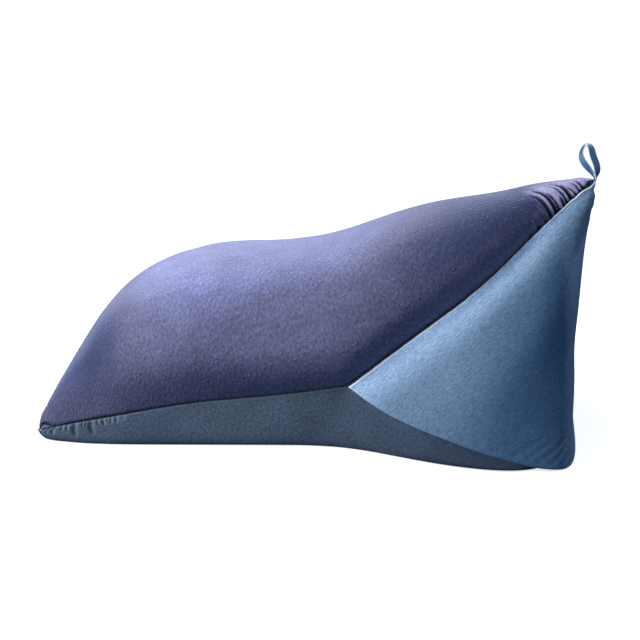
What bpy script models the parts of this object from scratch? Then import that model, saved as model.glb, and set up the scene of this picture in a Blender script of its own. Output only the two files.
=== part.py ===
"""A bean bag sofa: a filled bag sewn from three cloth panels, with a carrying loop at the top of its back.

The top panel is the seat and the backrest, from a wide front seam up to one high tip. The base panel is the
underside and the low sides. The back panel wraps round the back from one side to the other. Each panel is one
solid with the filling behind it: its outer face is the cloth as the filling swells it, and its inner faces run
straight across the bag between the seams, where it meets the next panel.

Metres, +Z up, the front is towards -X, and both sides of Y = 0 are the same. The floor is Z = 0.
"""

from collections import namedtuple

import bmesh
import bpy
import numpy as np

COLOURS = {
    "top_panel": (0.085, 0.080, 0.175, 1.0),
    "base_panel": (0.062, 0.092, 0.160, 1.0),
    "back_panel": (0.110, 0.225, 0.370, 1.0),
    "loop": (0.075, 0.180, 0.330, 1.0),
}
GAP = 0.0003

# The top panel from its front seam to the tip. Each section leaves the seam on the side of the bag, swells out
# to its widest place and climbs to the crown in the middle of the bag.
Section = namedtuple("Section", "seam_x seam_y seam_z side_y side_z crown_x crown_z")
SECTIONS = (
    Section(-0.573, 0.350, 0.019, 0.268, 0.018, -0.590, 0.018),
    Section(-0.554, 0.359, 0.026, 0.350, 0.066, -0.571, 0.097),
    Section(-0.475, 0.361, 0.044, 0.363, 0.130, -0.525, 0.213),
    Section(-0.370, 0.350, 0.065, 0.376, 0.172, -0.432, 0.333),
    Section(-0.215, 0.330, 0.093, 0.375, 0.200, -0.270, 0.400),
    Section(-0.060, 0.312, 0.110, 0.352, 0.205, -0.100, 0.416),
    Section(0.115, 0.302, 0.137, 0.340, 0.225, 0.040, 0.439),
    Section(0.250, 0.258, 0.240, 0.302, 0.312, 0.170, 0.483),
    Section(0.380, 0.200, 0.337, 0.246, 0.394, 0.300, 0.518),
    Section(0.480, 0.135, 0.430, 0.166, 0.466, 0.410, 0.537),
    Section(0.555, 0.075, 0.502, 0.086, 0.520, 0.505, 0.557),
    Section(0.608, 0.036, 0.548, 0.040, 0.555, 0.580, 0.5690),
)
TIP = (0.636, 0.012, 0.570)
WAIST = 6  # the section where the three panels meet
# How far over the crown each column of a section stands, and how much of the way to the crown it has moved.
Column = namedtuple("Column", "turn_deg forward")
COLUMNS = (Column(0, 0.12), Column(33, 0.42), Column(63, 0.80), Column(90, 1.0))
CROWN_POWER = 2.3

# The seam between the base and back panels, from the waist round the corner to the middle of the back. The
# back panel swells out from the straight line between the tip and each point of this seam, and keeps a share
# of the bow of the upper seam.
SeamPoint = namedtuple("SeamPoint", "x y z swell bow_share")
LOWER_SEAM = (
    SeamPoint(0.115, 0.302, 0.137, 0.000, 1.00),
    SeamPoint(0.215, 0.352, 0.088, 0.034, 0.80),
    SeamPoint(0.335, 0.391, 0.051, 0.052, 0.60),
    SeamPoint(0.455, 0.414, 0.021, 0.040, 0.40),
    SeamPoint(0.569, 0.402, 0.004, -0.014, 0.15),
    SeamPoint(0.603, 0.314, 0.004, -0.021, 0.00),
    SeamPoint(0.608, 0.206, 0.004, -0.037, 0.00),
    SeamPoint(0.609, 0.100, 0.004, -0.044, 0.00),
    SeamPoint(0.609, 0.000, 0.004, -0.046, 0.00),
)
BACK_CORNER = 4
SWELL_POWER = 1.1  # above 1, the swell is fullest below the middle of the height

# The base panel from the section behind the front seam to the one before the back seam: its widest place
# below the seam, and where it meets the floor.
BaseSection = namedtuple("BaseSection", "side_x side_y side_z floor_x floor_y")
BASE_SECTIONS = (
    BaseSection(-0.572, 0.366, 0.006, -0.568, 0.354),
    BaseSection(-0.478, 0.384, 0.012, -0.465, 0.378),
    BaseSection(-0.370, 0.378, 0.017, -0.365, 0.371),
    BaseSection(-0.215, 0.354, 0.021, -0.215, 0.347),
    BaseSection(-0.060, 0.330, 0.023, -0.060, 0.322),
    BaseSection(0.100, 0.306, 0.023, 0.090, 0.297),
    BaseSection(0.215, 0.358, 0.017, 0.215, 0.350),
    BaseSection(0.345, 0.428, 0.010, 0.360, 0.421),
    BaseSection(0.490, 0.462, 0.003, 0.556, 0.424),
)
FLOOR_INSET = 0.02

# The rows of the top panel's cage between its sections, where the cloth is gathered up to the tip. Each lies at
# a place counted in sections, and is lifted out into a ridge or drawn in to a valley.
Pleat = namedtuple("Pleat", "place lift")
PLEATS = (
    Pleat(8.80, 0.000),
    Pleat(9.35, 0.001),
    Pleat(9.65, 0.006),
    Pleat(9.80, -0.007),
    Pleat(9.95, 0.008),
    Pleat(10.10, -0.009),
    Pleat(10.25, 0.008),
    Pleat(10.40, -0.007),
    Pleat(10.55, 0.006),
    Pleat(10.70, -0.005),
    Pleat(10.90, 0.003),
    Pleat(11.20, 0.000),
    Pleat(11.60, 0.000),
)
PLAIN_SECTIONS = 9
PLEAT_FADE = (0.0, 0.7, 1.0, 0.35, 0.0)  # from the seam to the crown
PLEAT_CLEARANCE = 0.0004
SMOOTHING = 2

# The strap of the loop, from one end in the tip seam round to the other. Facing 0 shows the wide face of the
# strap to the side of the bag and 90 shows it to the front and the back.
StrapPoint = namedtuple("StrapPoint", "x y z facing_deg")
STRAP_WIDTH = 0.017
STRAP_THICKNESS = 0.0022
STRAP = (
    StrapPoint(0.6390, -0.003, 0.5732, 84),
    StrapPoint(0.6405, -0.004, 0.5815, 68),
    StrapPoint(0.6412, -0.004, 0.5905, 46),
    StrapPoint(0.6398, -0.004, 0.6015, 32),
    StrapPoint(0.6355, -0.005, 0.6125, 24),
    StrapPoint(0.6310, -0.005, 0.6242, 18),
    StrapPoint(0.6285, -0.004, 0.6365, 24),
    StrapPoint(0.6240, -0.002, 0.6455, 50),
    StrapPoint(0.6178, 0.000, 0.6492, 78),
    StrapPoint(0.6108, 0.002, 0.6460, 96),
    StrapPoint(0.6054, 0.003, 0.6367, 106),
    StrapPoint(0.6030, 0.004, 0.6254, 124),
    StrapPoint(0.6054, 0.005, 0.6140, 146),
    StrapPoint(0.6130, 0.006, 0.6030, 158),
    StrapPoint(0.6218, 0.006, 0.5930, 150),
    StrapPoint(0.6300, 0.006, 0.5836, 128),
    StrapPoint(0.6340, 0.005, 0.5762, 106),
)
STRAP_STEPS = 4


def through(points):
    """The cage whose smoothed curve passes through the points, along their first axis."""
    points = np.asarray(points, float)
    pull = np.eye(len(points))
    for row in range(1, len(points) - 1):
        pull[row, row - 1 : row + 2] = (1 / 6, 4 / 6, 1 / 6)
    return np.linalg.solve(pull, points.reshape(len(points), -1)).reshape(points.shape)


def spline(points, places):
    """Points of the smooth curve through the given ones, which lie at the whole places 0, 1, 2 and on."""
    knots = through(points)
    flat = knots.reshape(len(knots), -1)
    flat = np.concatenate([2 * flat[:1] - flat[1:2], flat, 2 * flat[-1:] - flat[-2:-1]])
    start = np.clip(np.floor(places).astype(int), 0, len(knots) - 2)
    t = (np.asarray(places) - start)[:, None]
    curve = (1 - t) ** 3 * flat[start] + (3 * t**3 - 6 * t**2 + 4) * flat[start + 1]
    curve += (3 * (t + t**2 - t**3) + 1) * flat[start + 2] + t**3 * flat[start + 3]
    return (curve / 6).reshape((len(t),) + knots.shape[1:])


def both_sides(row):
    """A row from the side of the bag to the middle, carried on to the other side."""
    row = np.asarray(row, float)
    return np.concatenate([row, row[-2::-1] * (1, -1, 1)])


def near_half(rows):
    return rows[:, : rows.shape[1] // 2 + 1]


def cage_of(grid, corner=None):
    """The cage of half a bag from a grid that reaches across it. Its edges may have a corner at one row."""
    cage = through(grid)
    if corner is not None:
        for edge in (0, -1):
            cage[: corner + 1, edge] = through(grid[: corner + 1, edge])
            cage[corner:, edge] = through(grid[corner:, edge])
    return near_half(through(cage.swapaxes(0, 1)).swapaxes(0, 1))


def tip_row(seam_point, parts):
    """A straight row across half of the tip."""
    return np.linspace(seam_point, np.asarray(seam_point) * (1, 0, 1), parts + 1)


def set_back(chain, side):
    """The shift of each point of a seam that moves it half a gap to the left (+1) or right (-1) of its run."""
    run = np.diff(np.asarray(chain)[:, [0, 2]], axis=0)
    run /= np.linalg.norm(run, axis=1)[:, None]
    normals = np.stack([-run[:, 1], np.zeros(len(run)), run[:, 0]], axis=1)
    before = np.concatenate([normals[:1], normals])
    after = np.concatenate([normals, normals[-1:]])
    reach = 1 + np.einsum("ij,ij->i", before, after)
    return side * GAP / 2 * (before + after) / reach[:, None]


def upper_seam():
    return np.array([(s.seam_x, -s.seam_y, s.seam_z) for s in SECTIONS] + [(TIP[0], -TIP[1], TIP[2])])


def lower_seam():
    return np.array([(p.x, -p.y, p.z) for p in LOWER_SEAM])


def section_row(section):
    row = [(section.seam_x, -section.seam_y, section.seam_z)]
    for column in COLUMNS:
        turn = np.radians(column.turn_deg)
        across = np.cos(turn) ** (2 / CROWN_POWER) if column.turn_deg < 90 else 0.0
        up = np.sin(turn) ** (2 / CROWN_POWER)
        x = section.seam_x + (section.crown_x - section.seam_x) * column.forward
        z = section.side_z + (section.crown_z - section.side_z) * up
        row.append((x, -section.side_y * across, z))
    return both_sides(row)


def pleated(grid):
    """The grid with the rows of the gathers between its last sections."""
    places = np.array([pleat.place for pleat in PLEATS])
    rows = spline(grid, places)
    over = np.gradient(rows, axis=1)
    run = np.gradient(rows, axis=0)
    outward = np.cross(over, run)
    outward /= np.linalg.norm(outward, axis=2)[:, :, None]
    fade = np.array(PLEAT_FADE + PLEAT_FADE[-2::-1])
    lift = np.array([pleat.lift for pleat in PLEATS])
    rows += outward * (lift[:, None] * fade)[:, :, None]
    return np.concatenate([grid[:PLAIN_SECTIONS], rows, grid[-1:]])


def bars(edge):
    """Rows of two points each, from the points of a seam straight in to the middle of the bag."""
    return [np.array([point, point * (1, 0, 1)]) for point in edge]


def top_panel():
    seam = upper_seam()
    shift = set_back(seam, 1)
    grid = np.array([section_row(section) for section in SECTIONS] + [both_sides(tip_row(seam[-1], 4))])
    grid[0] += shift[0]
    grid[-1] += shift[-1]
    for edge in (0, -1):
        grid[1:-1, edge] += shift[1:-1]
    pleat_seam = spline(grid[WAIST:, 0], np.array([pleat.place for pleat in PLEATS]) - WAIST)
    pleat_seam += shift[-1] * PLEAT_CLEARANCE / GAP
    outside = pleated(grid)
    outside[PLAIN_SECTIONS:-1, 0] = pleat_seam
    outside[PLAIN_SECTIONS:-1, -1] = pleat_seam * (1, -1, 1)
    outside = cage_of(outside, WAIST)
    inside = bars(outside[:, 0])
    front = [outside[0]] + inside[1 : WAIST + 1]
    back = inside[WAIST:-1] + [outside[-1]]
    return [outside, front, back], (outside[0, 0], outside[-1, 0])


def base_panel():
    seam = np.concatenate([upper_seam()[: WAIST + 1], lower_seam()[1 : BACK_CORNER + 1]])
    shift = set_back(seam, -1)
    rows = [section_row(SECTIONS[0]) + shift[0]]
    for point, move, base in zip(seam[1:-1], shift[1:-1], BASE_SECTIONS):
        row = [point + move, (base.side_x, -base.side_y, base.side_z)]
        for floor_y in (base.floor_y, base.floor_y - FLOOR_INSET, 0.0):
            row.append((base.floor_x, -floor_y, 0.0))
        rows.append(both_sides(row))
    back_seam = both_sides(lower_seam() + shift[-1])
    rows.append(back_seam[BACK_CORNER : BACK_CORNER + 9])
    grid = np.array(rows)
    outside = near_half(grid).copy()
    outside[: WAIST + 1, 0] = through(grid[: WAIST + 1, 0])
    outside[WAIST:, 0] = through(back_seam)[: BACK_CORNER + 1]
    outside[0] = through(grid[0])[:5]
    outside[-1] = through(back_seam)[BACK_CORNER : BACK_CORNER + 5]
    inside = bars(outside[:, 0])
    front = [outside[0]] + inside[1 : WAIST + 1]
    back = inside[WAIST:-1] + [outside[-1]]
    return [outside, front, back], (outside[0, 0],)


def back_panel():
    upper = upper_seam()[: WAIST - 1 : -1]
    lower = lower_seam()
    shift = set_back(np.concatenate([upper, lower[1 : BACK_CORNER + 1]]), 1)
    upper = upper + shift[: len(upper)]
    low_shift = shift[len(upper) - 1 :]
    lower = lower + np.concatenate([low_shift, np.repeat(low_shift[-1:], len(lower) - len(low_shift), axis=0)])
    tips = tip_row(upper[0], len(lower) - 1)
    run = np.gradient(both_sides(lower), axis=0)[: len(lower)]
    outward = np.stack([run[:, 1], -run[:, 0], np.zeros(len(run))], axis=1)
    outward /= np.linalg.norm(outward, axis=1)[:, None]
    reach = np.linalg.norm(upper - upper[0], axis=1)
    grid = []
    for point, share in zip(upper, reach / reach[-1]):
        bow = point - (upper[0] + (upper[-1] - upper[0]) * share)
        row = []
        for tip, end, out, seam in zip(tips, lower, outward, LOWER_SEAM):
            swell = seam.swell * np.sin(np.pi * share**SWELL_POWER)
            row.append(tip + (end - tip) * share + bow * seam.bow_share + out * swell)
        grid.append(both_sides(row))
    outside = list(cage_of(np.array(grid)))
    outside[0] = tip_row(upper[0], 4)
    inside = bars([row[0] for row in outside])
    upper_rows = [outside[0]] + inside[1:]
    lower_rows = bars(outside[-1][:BACK_CORNER]) + [outside[-1][BACK_CORNER:]]
    return [outside, upper_rows, lower_rows], (outside[0][0],)


def sheet_faces(rows, index_of):
    """Faces between the rows of a sheet. Where a row has more points than the next, they share the parts."""
    faces = []
    for row, following in zip(rows, rows[1:]):
        parts = min(len(row), len(following)) - 1
        row_step = (len(row) - 1) // parts
        following_step = (len(following) - 1) // parts
        for part in range(parts):
            start = [index_of(row[part * row_step + k]) for k in range(row_step, -1, -1)]
            ahead = [index_of(following[part * following_step + k]) for k in range(following_step + 1)]
            faces.append(start + ahead)
    return faces


def split_pinched(faces, pinched):
    """The faces, with one split in two at each of these points, where only two faces meet."""
    result = list(faces)
    for point in pinched:
        number = next(n for n, (face, _) in enumerate(result) if point in face)
        face, sheet = result[number]
        turn = face.index(point)
        face = face[turn:] + face[:turn]
        result[number] = (face[:3], sheet)
        result.append(([face[0]] + face[2:], sheet))
    return result


def clear_scene():
    for obj in list(bpy.data.objects):
        bpy.data.objects.remove(obj)


def add_material(obj):
    material = bpy.data.materials.new(obj.name + "_cloth")
    material.use_nodes = True
    shader = material.node_tree.nodes["Principled BSDF"]
    shader.inputs["Base Color"].default_value = COLOURS[obj.name]
    shader.inputs["Roughness"].default_value = 0.85
    obj.data.materials.append(material)


def add_panel(name, sheets, sharp_corners, collection):
    """One closed panel from half of its cage, in sheets that meet at sharp seams."""
    points = []
    places = {}

    def index_of(point):
        key = tuple(np.round(point, 7))
        if key not in places:
            places[key] = len(points)
            points.append(point)
        return places[key]

    faces = []
    for sheet, rows in enumerate(sheets):
        faces += [(face, sheet) for face in sheet_faces(rows, index_of)]
    around = {}
    for face, _ in faces:
        for point in face:
            around[point] = around.get(point, 0) + 1
    pinched = [point for point, count in around.items() if count == 2 and abs(points[point][1]) > GAP]
    faces = split_pinched(faces, pinched)
    edge_sheets = {}
    for face, sheet in faces:
        for start, end in zip(face, face[1:] + face[:1]):
            edge_sheets.setdefault(frozenset((start, end)), set()).add(sheet)

    mesh = bpy.data.meshes.new(name)
    mesh.from_pydata([tuple(point) for point in points], [], [face for face, _ in faces])
    outward = bmesh.new()
    outward.from_mesh(mesh)
    bmesh.ops.recalc_face_normals(outward, faces=outward.faces)
    outward.to_mesh(mesh)
    outward.free()
    edge_crease = mesh.attributes.new("crease_edge", "FLOAT", "EDGE")
    for edge in mesh.edges:
        edge_crease.data[edge.index].value = float(len(edge_sheets[frozenset(edge.vertices)]) > 1)
    point_crease = mesh.attributes.new("crease_vert", "FLOAT", "POINT")
    for corner in sharp_corners:
        point_crease.data[index_of(corner)].value = 1.0
    mesh.shade_smooth()

    obj = bpy.data.objects.new(name, mesh)
    collection.objects.link(obj)
    add_material(obj)
    mirror = obj.modifiers.new("other_side", "MIRROR")
    mirror.use_axis = (False, True, False)
    mirror.merge_threshold = 0.00002
    smooth = obj.modifiers.new("smooth", "SUBSURF")
    smooth.levels = SMOOTHING
    smooth.render_levels = SMOOTHING


def add_loop(collection):
    curve = bpy.data.curves.new("loop", "CURVE")
    curve.dimensions = "3D"
    curve.twist_mode = "MINIMUM"
    curve.extrude = STRAP_WIDTH / 2 - STRAP_THICKNESS / 2
    curve.bevel_depth = STRAP_THICKNESS / 2
    curve.bevel_resolution = 0
    curve.use_fill_caps = True
    curve.resolution_u = STRAP_STEPS
    strap = curve.splines.new("NURBS")
    strap.points.add(len(STRAP) - 1)
    strap.order_u = 4
    strap.use_endpoint_u = True
    for point, knot in zip(strap.points, STRAP):
        point.co = (knot.x, knot.y, knot.z, 1.0)
        point.tilt = np.radians(knot.facing_deg)
    obj = bpy.data.objects.new("loop", curve)
    collection.objects.link(obj)
    add_material(obj)


def main():
    clear_scene()
    collection = bpy.data.collections.new("bean_bag_sofa")
    bpy.context.scene.collection.children.link(collection)
    add_panel("top_panel", *top_panel(), collection)
    add_panel("base_panel", *base_panel(), collection)
    add_panel("back_panel", *back_panel(), collection)
    add_loop(collection)


main()
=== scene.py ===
"""A bean bag sofa: three sewn cloth panels over a loose filling, and a carrying loop in the seam at its tip.

Metres, +Z up, the front is towards -X, the near side is towards -Y, and the floor is Z = 0. Each panel is
a smooth surface through the same sections as its solid, worked over with the folds and hollows of real cloth.
"""

from collections import namedtuple

import bpy
import numpy as np
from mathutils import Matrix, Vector

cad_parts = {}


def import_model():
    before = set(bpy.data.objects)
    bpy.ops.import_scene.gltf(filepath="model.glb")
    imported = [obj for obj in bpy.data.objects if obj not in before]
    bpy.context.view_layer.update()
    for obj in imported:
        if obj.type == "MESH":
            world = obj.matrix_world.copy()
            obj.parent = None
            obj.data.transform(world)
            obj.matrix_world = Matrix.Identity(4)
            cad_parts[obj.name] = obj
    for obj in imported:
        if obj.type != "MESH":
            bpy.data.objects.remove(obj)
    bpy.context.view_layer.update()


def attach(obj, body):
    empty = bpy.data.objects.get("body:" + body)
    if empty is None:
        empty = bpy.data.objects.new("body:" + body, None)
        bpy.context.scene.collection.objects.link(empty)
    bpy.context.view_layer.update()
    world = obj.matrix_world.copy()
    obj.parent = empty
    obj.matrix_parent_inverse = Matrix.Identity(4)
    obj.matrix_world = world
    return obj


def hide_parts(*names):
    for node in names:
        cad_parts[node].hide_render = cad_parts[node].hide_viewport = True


class Ramp(namedtuple("Ramp", "start full")):
    """An effect that fades in from its start to where it is full, whichever of the two is larger."""

    def __call__(self, value):
        return ease(value, self.start, self.full)


class Bell(namedtuple("Bell", "middle width")):
    """An effect that is full in its middle."""

    def __call__(self, value):
        return np.exp(-(((value - self.middle) / self.width) ** 2))


def ease(value, start, full):
    t = np.clip((value - start) / (full - start), 0, 1)
    return t * t * (3 - 2 * t)


def named(kind, *table):
    """The rows of a table, with its columns named."""
    return tuple(kind(*row) for row in table)


ANYWHERE = Ramp(-2.0, -1.0)  # full at every place


# The top panel from its front seam to the tip: where a section leaves the seam, its widest place, its crown.
Section = namedtuple("Section", "seam_x seam_y seam_z side_y side_z crown_x crown_z")
SECTIONS = named(
    Section,
    (-0.573, 0.350, 0.019, 0.268, 0.018, -0.590, 0.018),
    (-0.554, 0.359, 0.026, 0.350, 0.066, -0.571, 0.097),
    (-0.475, 0.361, 0.044, 0.363, 0.130, -0.525, 0.213),
    (-0.370, 0.350, 0.065, 0.376, 0.172, -0.432, 0.333),
    (-0.215, 0.330, 0.093, 0.375, 0.200, -0.270, 0.400),
    (-0.060, 0.312, 0.110, 0.352, 0.205, -0.100, 0.416),
    (0.115, 0.302, 0.137, 0.340, 0.225, 0.040, 0.439),
    (0.250, 0.258, 0.240, 0.302, 0.312, 0.170, 0.483),
    (0.380, 0.200, 0.337, 0.246, 0.394, 0.300, 0.518),
    (0.480, 0.135, 0.430, 0.166, 0.466, 0.410, 0.537),
    (0.555, 0.075, 0.502, 0.086, 0.520, 0.505, 0.557),
    (0.608, 0.036, 0.548, 0.040, 0.555, 0.580, 0.569),
)
TIP = (0.636, 0.012, 0.570)
WAIST = 6  # the section where the three panels meet

# The points of half a section, from its side to its crown: how far up the curve, and how far forward.
Column = namedtuple("Column", "turn_deg forward")
COLUMNS = (Column(0, 0.12), Column(33, 0.42), Column(63, 0.80), Column(90, 1.0))
CROWN_POWER = 2.3  # 2 makes an ellipse, and more a squarer curve

# The seam between the base and back panels, from the waist round the corner to the middle of the back. Above
# each point the back panel swells out, and follows this share of the upper seam's bow.
SeamPoint = namedtuple("SeamPoint", "x y z swell bow_share")
LOWER_SEAM = named(
    SeamPoint,
    (0.115, 0.302, 0.137, 0.000, 1.00),
    (0.215, 0.352, 0.088, 0.034, 0.80),
    (0.335, 0.391, 0.051, 0.052, 0.60),
    (0.455, 0.414, 0.021, 0.040, 0.40),
    (0.569, 0.402, 0.004, -0.014, 0.15),
    (0.603, 0.314, 0.004, -0.021, 0.00),
    (0.608, 0.206, 0.004, -0.037, 0.00),
    (0.609, 0.100, 0.004, -0.044, 0.00),
    (0.609, 0.000, 0.004, -0.046, 0.00),
)
BACK_CORNER = 4  # the point of this seam at the rear corner
SWELL_POWER = 1.1  # more than 1 puts the fullest place below the middle

# The base panel: its widest place below the seam, and where it meets the floor.
BaseSection = namedtuple("BaseSection", "side_x side_y side_z floor_x floor_y")
BASE_SECTIONS = named(
    BaseSection,
    (-0.572, 0.366, 0.006, -0.568, 0.354),
    (-0.478, 0.384, 0.012, -0.465, 0.378),
    (-0.370, 0.378, 0.017, -0.365, 0.371),
    (-0.215, 0.354, 0.021, -0.215, 0.347),
    (-0.060, 0.330, 0.023, -0.060, 0.322),
    (0.100, 0.306, 0.023, 0.090, 0.297),
    (0.215, 0.358, 0.017, 0.215, 0.350),
    (0.345, 0.428, 0.010, 0.360, 0.421),
    (0.490, 0.462, 0.003, 0.556, 0.424),
)
FLOOR_INSET = 0.02  # the second point on the floor lies this much further in, which keeps the underside flat

# Each stretch of a panel's surface has its own number of steps. Places count the sections from 0.
Stretch = namedtuple("Stretch", "start end steps")
EDGE = 0.004  # how far inside its seam a panel ends, as a place
TOP_LAST = len(SECTIONS)
BASE_LAST = len(BASE_SECTIONS) + 1
BACK_LAST = len(SECTIONS) - WAIST
TOP_ALONG = (Stretch(EDGE, 0.6, 36), Stretch(0.6, 8.8, 132), Stretch(8.8, TOP_LAST - EDGE, 212))
TOP_ACROSS = 248
BASE_ALONG = (
    Stretch(EDGE, 0.3, 20),
    Stretch(0.3, 2.9, 196),
    Stretch(2.9, 9.7, 138),
    Stretch(9.7, BASE_LAST - EDGE, 16),
)
BASE_ACROSS = 150
BACK_ALONG = (Stretch(EDGE, 0.4, 24), Stretch(0.4, 3.6, 120), Stretch(3.6, BACK_LAST - EDGE, 130))
BACK_ACROSS = 320
EDGE_BIAS = 0.62  # how much closer together the steps are at the side seams
PANEL_SHARP_DEG = 80

# How a panel's edge turns in to a seam: over this width, to this depth.
Roll = namedtuple("Roll", "width depth")
TOP_ROLL = Roll(0.012, 0.0075)
BASE_ROLL = Roll(0.006, 0.0030)
BACK_UPPER_ROLL = Roll(0.004, 0.0018)
BACK_LOWER_ROLL = Roll(0.004, 0.0020)
ROLL_STEEPNESS = 0.998  # at 1 a roll would end in a wall
FRONT_INWARD = (0.6, 0.0, 0.0)
REAR_INWARD = (-0.5, 0.0, 0.0)
CORNER_ROLL = Ramp(0, 0.110)  # how far from a front corner the rolls of the top and base panels begin
NARROW_TOP = 0.18  # where half the top panel is narrower than this, its roll is smaller
NARROW_BACK = 0.06  # the same for the whole width of the back panel

# Soft unevenness of the loose filling: the size and height of its lumps, which fade out at the seams. The
# random heights repeat after this many lumps, and start from this shift.
Lump = namedtuple("Lump", "size height seed")
LUMP_GRID = 64
LUMP_SHIFT = (7.0, 31.0)
TOP_LUMPS = (Lump(0.110, -0.0020, 3), Lump(0.045, -0.0007, 5))
TOP_LUMP_EDGE = Ramp(0, 0.06)
BASE_LUMPS = (Lump(0.090, 0.0012, 7),)
BASE_LUMP_EDGE = Ramp(0, 0.04)
ABOVE_FLOOR = Ramp(0.001, 0.020)
BACK_LUMPS = (Lump(0.120, 0.0018, 9), Lump(0.050, 0.0006, 11))
BACK_LUMP_EDGE = Ramp(0, 0.05)
BACK_LUMP_TIP = Ramp(0.02, 0.20)

# The small puckers that the stitches leave beside every seam.
SEAM_PUCKERS = (Lump(0.011, 0.0007, 15),)
PUCKER_FADE = Ramp(0.018, 0.004)
BACK_PUCKER_FADE = Ramp(0.022, 0.004)

# The back panel is crumpled under the tip. It swells out there, and low down at the rear.
TIP_CRUMPLES = (Lump(0.022, 0.0042, 21), Lump(0.011, 0.0022, 22))
CRUMPLE_EDGE = Ramp(0, 0.012)
UNDER_TIP = Ramp(0.14, 0.05)
TIP_SWELL = 0.0034
TIP_SWELL_TOP = Ramp(0.003, 0.014)
TIP_SWELL_EDGE = Ramp(0, 0.010)
REAR_SWELL = 0.0044
REAR_SWELL_HEIGHT = Bell(0.15, 0.06)
REAR_SWELL_X = Ramp(0.50, 0.60)

# The stitched edge of the back panel stands up beside the upper seam, where the panel is wide enough.
SEAM_LIP = 0.0036
SEAM_LIP_PLACE = Bell(0.0084, 0.0030)
SEAM_LIP_ROOM = Ramp(0.04, 0.16)

# The stitches that draw scallops into the edge of the back panel, half-way up its seam.
SCALLOP_LENGTH = 0.0125
SCALLOP_DEPTH = 0.0022
SCALLOP_UPPER_END = Ramp(0.19, 0.24)
SCALLOP_LOWER_END = Ramp(0.42, 0.36)

# A gather starts at a seam, this far along it, and runs out over the panel. Its far end leans further along.
Gather = namedtuple("Gather", "place length width depth lean")
GATHER_FADE = 0.55  # the share of its length over which a gather is at full depth
GATHER_SPREAD = 0.35  # how much wider a gather is at its seam than at its far end
GATHER_BLUNTNESS = 1.35  # 1 makes a sharp valley, and more a rounder one
CURVED = 2.0  # the bend of a gather's line
STRAIGHT = 1.0

# The gathers of the top panel near the tip, counted from the tip along the side seam.
TIP_GATHERS = named(
    Gather,
    (0.215, 0.090, 0.0080, 0.0026, 0.30),
    (0.188, 0.110, 0.0066, 0.0040, 0.28),
    (0.166, 0.080, 0.0045, 0.0052, 0.28),
    (0.148, 0.116, 0.0050, 0.0120, 0.26),
    (0.131, 0.120, 0.0052, 0.0120, 0.26),
    (0.121, 0.066, 0.0034, 0.0095, 0.20),
    (0.105, 0.030, 0.0044, 0.0090, 0.05),
    (0.095, 0.098, 0.0034, 0.0090, 0.28),
    (0.081, 0.092, 0.0048, 0.0120, 0.24),
    (0.066, 0.036, 0.0028, 0.0072, 0.45),
    (0.053, 0.060, 0.0028, 0.0072, 0.26),
    (0.042, 0.044, 0.0040, 0.0085, 0.10),
    (0.024, 0.026, 0.0030, 0.0066, 0.20),
)
FAR_SIDE = Gather(1.06, 0.92, 1.1, 0.9, 1.2)  # the far side's gathers, as shares of the near side's
TIP_ROOT = Ramp(-0.001, 0.003)  # how far from the seam they reach their depth
# The valleys of the gathers get painted shade, from the depth below on.
TIP_DARK = Ramp(0.0025, 0.0080)  # the depth from which a gather is dark

# The cloth between these gathers puffs up this high, and less close to the tip.
PUFF = 0.0065
TIP_PUFF = 0.0060
TIP_PUFF_FADE = Ramp(0.11, 0.06)
PUFF_FRONT = Ramp(0.190, 0.150)
PUFF_TIP = Ramp(0.002, 0.030)
PUFF_LENGTH = Ramp(0.115, 0.020)
PUFF_CROWN = Ramp(0.85, 0.35)

# Its ridges get a painted highlight where nothing draws the cloth in. The first of them follows a curve.
RIDGE_DEPTH = Ramp(0.0065, 0.0008)
RIDGE_START = Ramp(0.150, 0.142)
RIDGE_CURVE = 2.4
RIDGE_CURVE_LENGTH = 0.115
RIDGE_LENGTH = Ramp(0.150, 0.070)
RIDGE_TIP = Ramp(0.004, 0.020)
RIDGE_CROWN = Ramp(0.30, 0.85)
RIDGE_CROWN_LOSS = 0.5

# How far each panel bulges out near a front corner, and how far from the corner it is full, fades and ends.
Nose = namedtuple("Nose", "size full fading end")
TOP_NOSE = Nose(0.0055, 0.020, 0.034, 0.062)
BASE_NOSE = Nose(0.0095, 0.012, 0.030, 0.085)
NOSE_EDGE = Ramp(0, 0.008)
NOSE_OUTWARD = (-0.8, 0.6, 0.0)

# The tuck at the front corner, where the top panel folds over itself above the side seam.
TUCK_START = 0.009
TUCK_LENGTH = 0.040
TUCK_FRONT_END = Ramp(0, 0.08)
TUCK_REAR_END = Ramp(1.0, 0.75)
TUCK_HEIGHT = 0.0112
TUCK_VALLEY = Bell(0, 0.0034)
TUCK_DEPTH = 0.0058
# The tuck's valley gets painted shade, full at the depth below, and its lip a painted highlight.
TUCK_DARK_DEPTH = 0.0030
TUCK_LIP = 0.0020
TUCK_LIP_EDGE = Ramp(0, 0.003)
TUCK_LIP_PALE = 0.5

# The soft pulls in the back panel at the rear corner, counted along its lower seam.
CORNER_PULLS = named(
    Gather,
    (0.345, 0.060, 0.0060, 0.0016, 0.9),
    (0.385, 0.090, 0.0060, 0.0024, 1.0),
    (0.412, 0.080, 0.0050, 0.0026, 1.0),
    (0.440, 0.100, 0.0060, 0.0028, 1.0),
    (0.468, 0.070, 0.0050, 0.0024, 0.9),
    (0.500, 0.060, 0.0060, 0.0018, 0.8),
)
PULL_ROOT = Ramp(0, 0.012)

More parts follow.
